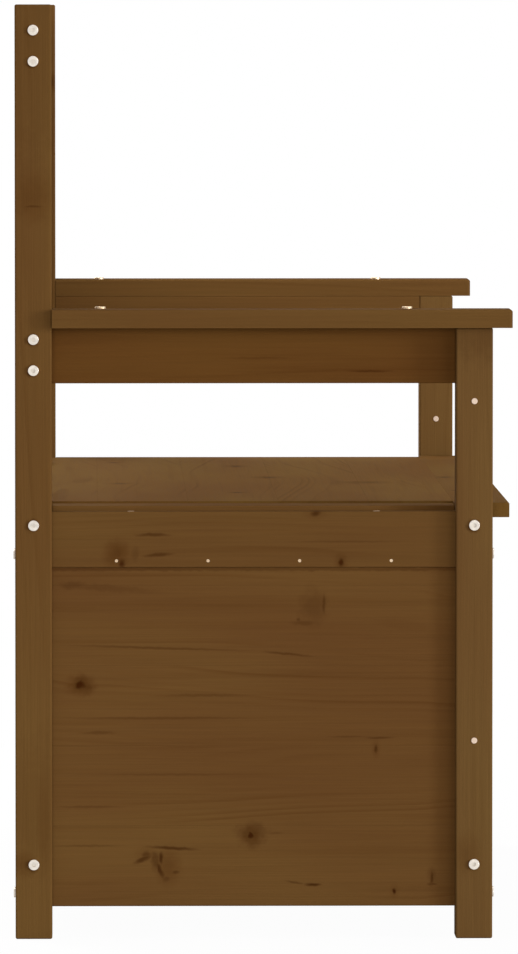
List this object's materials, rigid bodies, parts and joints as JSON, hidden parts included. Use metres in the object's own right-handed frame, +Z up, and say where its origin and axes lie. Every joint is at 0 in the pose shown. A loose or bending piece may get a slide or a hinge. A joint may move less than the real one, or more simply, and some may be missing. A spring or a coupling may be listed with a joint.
{
  "type": "storage bench",
  "caption": "Stained wooden box bench with a high slatted back, flat armrests and a hinged seat lid over a storage box on square posts.",
  "frame": {"origin": "on the floor, under the middle of the bench's overall box", "axes": "+X along the length, to the right as seen from the front; the front faces -Y; +Z up"},
  "size_m": [1.125, 0.515, 0.965],
  "materials": {
    "stained_pine": "dark honey-brown stain on planed pine, matt to satin",
    "bare_wood": "unstained dowel",
    "zinc_plated_steel": "bright zinc plating",
    "cream_plastic": "smooth pale plastic"
  },
  "bodies": {
    "bench_frame": {"arm_rail_left": "stained_pine", "arm_rail_right": "stained_pine", "armrest_bolts": "zinc_plated_steel", "armrest_left": "stained_pine", "armrest_right": "stained_pine", "back_panel": "stained_pine", "back_post_left": "stained_pine", "back_post_right": "stained_pine", "back_rail": "stained_pine", "backrest_rail_lower": "stained_pine", "backrest_rail_upper": "stained_pine", "backrest_slat_1": "stained_pine", "backrest_slat_2": "stained_pine", "backrest_slat_3": "stained_pine", "backrest_slat_4": "stained_pine", "backrest_slat_5": "stained_pine", "backrest_slat_6": "stained_pine", "backrest_slat_7": "stained_pine", "backrest_slat_8": "stained_pine", "backrest_slat_9": "stained_pine", "barrel_nuts": "zinc_plated_steel", "bearer_screws": "zinc_plated_steel", "cleat_screws": "zinc_plated_steel", "dowels": "bare_wood", "floor_board_1": "stained_pine", "floor_board_2": "stained_pine", "floor_board_3": "stained_pine", "floor_board_4": "stained_pine", "floor_board_5": "stained_pine", "floor_cleat_back": "stained_pine", "floor_cleat_front": "stained_pine", "floor_screws": "zinc_plated_steel", "frame_bolts": "zinc_plated_steel", "front_bearer": "stained_pine", "front_panel": "stained_pine", "front_post_left": "stained_pine", "front_post_right": "stained_pine", "front_rail": "stained_pine", "hinge_leaves_fixed": "zinc_plated_steel", "hinge_pins": "zinc_plated_steel", "hinge_screws_fixed": "zinc_plated_steel", "hole_caps": "cream_plastic", "rail_screws": "zinc_plated_steel", "seat_strip_left": "stained_pine", "seat_strip_right": "stained_pine", "side_bearer_left": "stained_pine", "side_bearer_right": "stained_pine", "side_panel_left": "stained_pine", "side_panel_right": "stained_pine", "side_rail_left": "stained_pine", "side_rail_right": "stained_pine", "strip_screws": "zinc_plated_steel"},
    "seat_lid": {"batten_screws": "zinc_plated_steel", "hinge_leaves_lid": "zinc_plated_steel", "hinge_screws_lid": "zinc_plated_steel", "lid_batten_1": "stained_pine", "lid_batten_2": "stained_pine", "lid_batten_3": "stained_pine", "lid_front_board": "stained_pine", "lid_panel": "stained_pine"}
  },
  "joints": [
    {"name": "lid_hinge", "type": "hinge", "parent": "bench_frame", "child": "seat_lid", "pos_m": [0, 0.226, 0.4521], "axis": [-1, 0, 0], "range_deg": [0, 90]}
  ]
}
